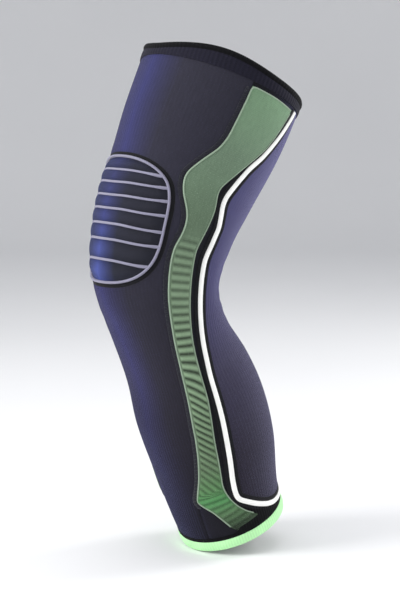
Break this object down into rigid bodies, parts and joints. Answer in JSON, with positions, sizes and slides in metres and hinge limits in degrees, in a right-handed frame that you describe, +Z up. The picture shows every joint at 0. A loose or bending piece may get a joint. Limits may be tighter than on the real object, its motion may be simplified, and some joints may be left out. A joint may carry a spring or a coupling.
{
  "type": "knee brace",
  "caption": "Long pull-on knitted compression knee brace: ribbed kneecap panel over a gel ring, sprung stays behind two side bands, gripping hems.",
  "frame": {"origin": "centre of the knee, on the sleeve's curved centre line, at the flexion axis", "axes": "+Z up, -Y to the front of the knee, +Y to the back of the knee, +X to the outer (lateral) side of a left knee; mirror-symmetric about X = 0"},
  "size_m": [0.1472, 0.1984, 0.4565],
  "materials": {
    "navy_knit": "fine rib knit, matt, navy with a faint violet cast",
    "violet_knit": "fine rib knit, matt, grey violet",
    "green_knit": "rib knit, matt, sage green that deepens towards the calf",
    "navy_welt": "folded knitted welt, dark navy",
    "black_elastic": "ribbed elastic, matt black",
    "mint_binding": "ribbed elastic, pale mint green",
    "white_piping": "smooth knitted piping, white",
    "seam_thread": "flatlock stitching, near black",
    "kneecap_line": "raised knitted line, pale lilac grey",
    "channel_tape": "soft woven tape, dark navy",
    "label_tape": "satin tape, blank",
    "silicone_gel": "soft translucent gel, satin",
    "silicone_grip": "clear silicone, satin",
    "spring_steel": "bright spring steel",
    "cap_plastic": "moulded end cap, matt"
  },
  "bodies": {
    "thigh": {"front_panel_thigh": "navy_knit", "front_panel_knee": "navy_knit", "rear_panel_thigh": "violet_knit", "rear_panel_knee": "violet_knit", "lateral_band_thigh": "green_knit", "lateral_band_knee": "green_knit", "medial_band_thigh": "green_knit", "medial_band_knee": "green_knit", "lateral_piping_thigh": "white_piping", "lateral_piping_knee": "white_piping", "medial_piping_thigh": "white_piping", "medial_piping_knee": "white_piping", "lateral_seam_thigh": "seam_thread", "lateral_seam_knee": "seam_thread", "medial_seam_thigh": "seam_thread", "medial_seam_knee": "seam_thread", "lateral_ribs_knee": "green_knit", "medial_ribs_knee": "green_knit", "lateral_stay": "spring_steel", "medial_stay": "spring_steel", "lateral_stay_channel": "channel_tape", "medial_stay_channel": "channel_tape", "lateral_stay_cap_upper": "cap_plastic", "medial_stay_cap_upper": "cap_plastic", "kneecap_panel": "navy_knit", "kneecap_rim": "kneecap_line", "kneecap_ribs": "kneecap_line", "kneecap_gel_ring": "silicone_gel", "top_hem": "navy_welt", "top_binding": "black_elastic", "top_grip": "silicone_grip", "care_label": "label_tape"},
    "calf": {"front_panel_calf": "navy_knit", "rear_panel_calf": "violet_knit", "lateral_band_calf": "green_knit", "medial_band_calf": "green_knit", "lateral_piping_calf": "white_piping", "medial_piping_calf": "white_piping", "lateral_seam_calf": "seam_thread", "medial_seam_calf": "seam_thread", "lateral_ribs_calf": "green_knit", "medial_ribs_calf": "green_knit", "lateral_band_foot": "green_knit", "medial_band_foot": "green_knit", "lateral_stay_cap_lower": "cap_plastic", "medial_stay_cap_lower": "cap_plastic", "bottom_hem": "black_elastic", "bottom_binding": "mint_binding", "bottom_grip": "silicone_grip"}
  },
  "joints": [
    {"name": "knee_flexion", "type": "hinge", "parent": "thigh", "child": "calf", "pos_m": [0, 0, 0], "axis": [1, 0, 0], "range_deg": [-47, 63], "deforming": ["front_panel_knee", "rear_panel_knee", "lateral_band_knee", "medial_band_knee", "lateral_piping_knee", "medial_piping_knee", "lateral_seam_knee", "medial_seam_knee", "lateral_ribs_knee", "medial_ribs_knee", "lateral_stay", "medial_stay", "lateral_stay_channel", "medial_stay_channel"]}
  ]
}
